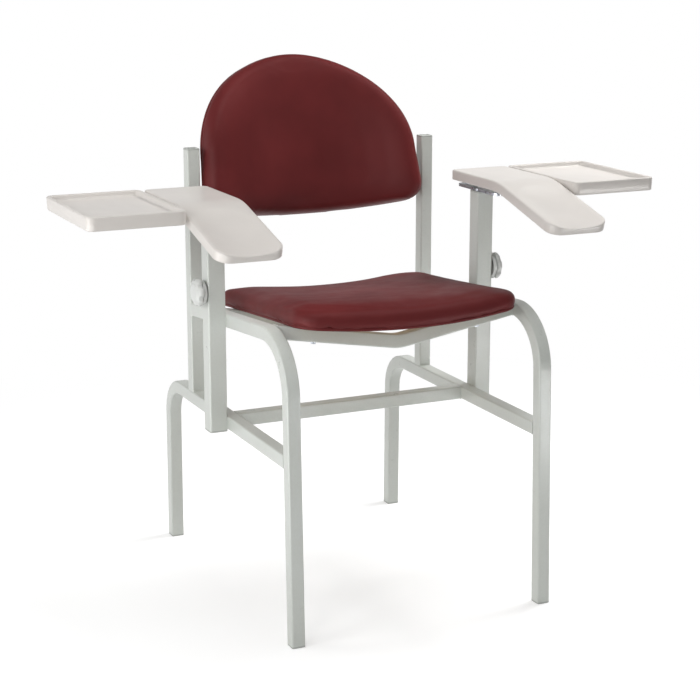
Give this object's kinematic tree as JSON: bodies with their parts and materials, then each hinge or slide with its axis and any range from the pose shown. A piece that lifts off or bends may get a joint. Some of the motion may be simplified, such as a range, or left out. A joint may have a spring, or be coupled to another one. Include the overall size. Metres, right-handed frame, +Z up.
{
  "type": "phlebotomy chair",
  "caption": "Chair for drawing blood: square-tube frame, padded seat and curved backrest, and height-adjustable arm rests, each with a trough for the forearm and a side tray.",
  "frame": {"origin": "on the floor, under the middle of the chair's width and depth", "axes": "+Z up, +X to the chair's right side as seen from the front, the chair faces -Y"},
  "size_m": [1.114, 0.658, 0.9791],
  "materials": {
    "arm_shell": "glossy warm off-white moulding",
    "frame_paint": "smooth light grey powder coat, semi-gloss",
    "grey_plastic": "plain light grey plastic ends and washers",
    "knob_plastic": "glossy light grey moulding",
    "plywood": "varnished moulded plywood",
    "satin_steel": "satin chromed sliding tube",
    "vinyl": "maroon vinyl with a fine grain and a soft sheen",
    "zinc_steel": "bright zinc-plated fasteners"
  },
  "bodies": {
    "frame": {"right_rear_leg_and_rail": "frame_paint", "left_rear_leg_and_rail": "frame_paint", "right_front_leg_and_seat_rail": "frame_paint", "left_front_leg_and_seat_rail": "frame_paint", "right_back_upright": "frame_paint", "left_back_upright": "frame_paint", "lower_cross_brace": "frame_paint", "front_seat_crossbar": "frame_paint", "rear_seat_crossbar": "frame_paint", "back_crossbar": "frame_paint", "back_mount_plates": "frame_paint", "right_arm_post": "frame_paint", "left_arm_post": "frame_paint", "right_post_bush": "grey_plastic", "left_post_bush": "grey_plastic", "post_bottom_caps": "grey_plastic", "clamp_weld_nuts": "frame_paint", "front_foot_plugs": "grey_plastic", "rear_foot_plugs": "grey_plastic", "upright_caps": "grey_plastic", "seat_board": "plywood", "seat_cushion": "vinyl", "seat_spacers": "grey_plastic", "seat_bolts": "zinc_steel", "seat_tee_nuts": "zinc_steel", "back_board": "plywood", "back_cushion": "vinyl", "back_bolts": "zinc_steel", "back_tee_nuts": "zinc_steel"},
    "right_arm": {"right_slide_tube": "satin_steel", "right_slide_shoe": "grey_plastic", "right_arm_bracket": "frame_paint", "right_arm_rest": "arm_shell", "right_tray": "arm_shell", "right_bracket_spacers": "grey_plastic", "right_bracket_bolts": "zinc_steel"},
    "left_arm": {"left_slide_tube": "satin_steel", "left_slide_shoe": "grey_plastic", "left_arm_bracket": "frame_paint", "left_arm_rest": "arm_shell", "left_tray": "arm_shell", "left_bracket_spacers": "grey_plastic", "left_bracket_bolts": "zinc_steel"},
    "right_knob": {"right_clamp_knob": "knob_plastic", "right_clamp_screw": "zinc_steel"},
    "left_knob": {"left_clamp_knob": "knob_plastic", "left_clamp_screw": "zinc_steel"}
  },
  "joints": [
    {"name": "right_arm_height", "type": "slide", "parent": "frame", "child": "right_arm", "axis": [0, 0, 1], "range_m": [0, 0.15]},
    {"name": "right_knob_turn", "type": "hinge", "parent": "frame", "child": "right_knob", "pos_m": [0.3025, -0.01225, 0.578], "axis": [1, 0, 0], "range_deg": [0, 360]},
    {"name": "left_arm_height", "type": "slide", "parent": "frame", "child": "left_arm", "axis": [0, 0, 1], "range_m": [0, 0.15]},
    {"name": "left_knob_turn", "type": "hinge", "parent": "frame", "child": "left_knob", "pos_m": [-0.3025, -0.01225, 0.578], "axis": [-1, 0, 0], "range_deg": [0, 360]}
  ]
}
